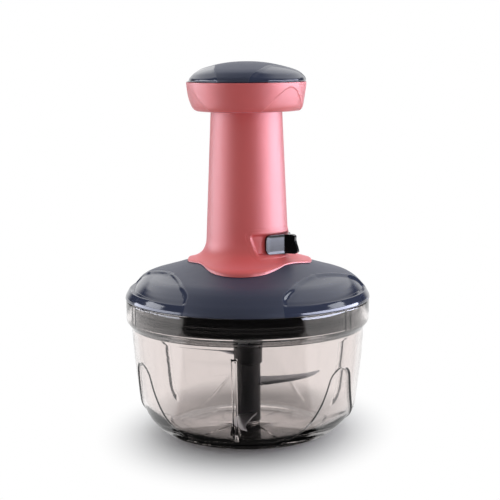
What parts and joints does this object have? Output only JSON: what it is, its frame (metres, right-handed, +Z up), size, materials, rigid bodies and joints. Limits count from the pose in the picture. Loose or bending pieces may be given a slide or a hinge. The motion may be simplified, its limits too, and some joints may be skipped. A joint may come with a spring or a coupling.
{
  "type": "plunger food chopper",
  "caption": "Push-down food chopper: clear bowl with a bladed shaft, domed lid, and a sprung plunger in a column.",
  "frame": {"origin": "centre of the bowl's foot, on the surface it stands on", "axes": "+Z up along the blade shaft; -Y is the front, +X is to the right seen from the front"},
  "size_m": [0.1368, 0.1368, 0.2071],
  "materials": {
    "pink_plastic": "satin moulded",
    "slate_plastic": "gloss moulded",
    "clear_plastic": "clear, faint smoke tint",
    "black_plastic": "gloss moulded",
    "charcoal_plastic": "satin moulded",
    "natural_plastic": "satin moulded",
    "silicone": "matt",
    "steel": "bright, fine grain"
  },
  "bodies": {
    "bowl": {"bowl": "clear_plastic", "pivot_pin": "steel"},
    "blade_assembly": {"blade_shaft": "charcoal_plastic", "drive_socket": "charcoal_plastic", "blade_top": "steel", "blade_middle": "steel", "blade_bottom": "steel"},
    "lid": {"lid_cover": "slate_plastic", "lid_base": "black_plastic", "lid_seal": "silicone", "cover_screw_1": "steel", "cover_screw_2": "steel", "cover_screw_3": "steel", "column_casing": "pink_plastic", "column_screw_1": "steel", "column_screw_2": "steel", "column_screw_3": "steel", "guide_sleeve": "natural_plastic", "stop_ring": "natural_plastic", "guide_bush": "natural_plastic", "clutch_housing": "natural_plastic", "return_spring": "steel", "coupler_bush": "natural_plastic"},
    "drive_output": {"drive_coupler": "charcoal_plastic", "coupler_clip": "steel", "lower_clutch": "natural_plastic"},
    "drive_rod": {"upper_clutch": "natural_plastic", "twisted_rod": "steel"},
    "plunger": {"plunger_tube": "natural_plastic", "drive_nut": "natural_plastic", "head_collar": "pink_plastic", "head_cap": "slate_plastic", "head_screw": "steel"},
    "lock": {"lock_slider": "black_plastic", "lock_latch": "black_plastic"}
  },
  "joints": [
    {"name": "lid_lift", "type": "slide", "parent": "bowl", "child": "lid", "axis": [0, 0, 1], "range_m": [0, 0.06]},
    {"name": "plunger_slide", "type": "slide", "parent": "lid", "child": "plunger", "axis": [0, 0, 1], "range_m": [0, 0.055], "deforming": ["return_spring"]},
    {"name": "lock_slide", "type": "hinge", "parent": "lid", "child": "lock", "pos_m": [0, 0, 0.1079], "axis": [0, 0, 1], "range_deg": [-20, 0]},
    {"name": "rod_turn", "type": "hinge", "parent": "lid", "child": "drive_rod", "pos_m": [0, 0, 0.1], "axis": [0, 0, 1], "continuous": true},
    {"name": "output_turn", "type": "hinge", "parent": "lid", "child": "drive_output", "pos_m": [0, 0, 0.07], "axis": [0, 0, 1], "continuous": true},
    {"name": "blade_turn", "type": "hinge", "parent": "bowl", "child": "blade_assembly", "pos_m": [0, 0, 0.03], "axis": [0, 0, 1], "continuous": true}
  ],
  "couplings": [
    {"joint": "rod_turn", "follows": "plunger_slide", "rad_per_m": 228.48},
    {"joint": "output_turn", "follows": "plunger_slide", "rad_per_m": 228.48},
    {"joint": "blade_turn", "follows": "plunger_slide", "rad_per_m": 228.48}
  ]
}
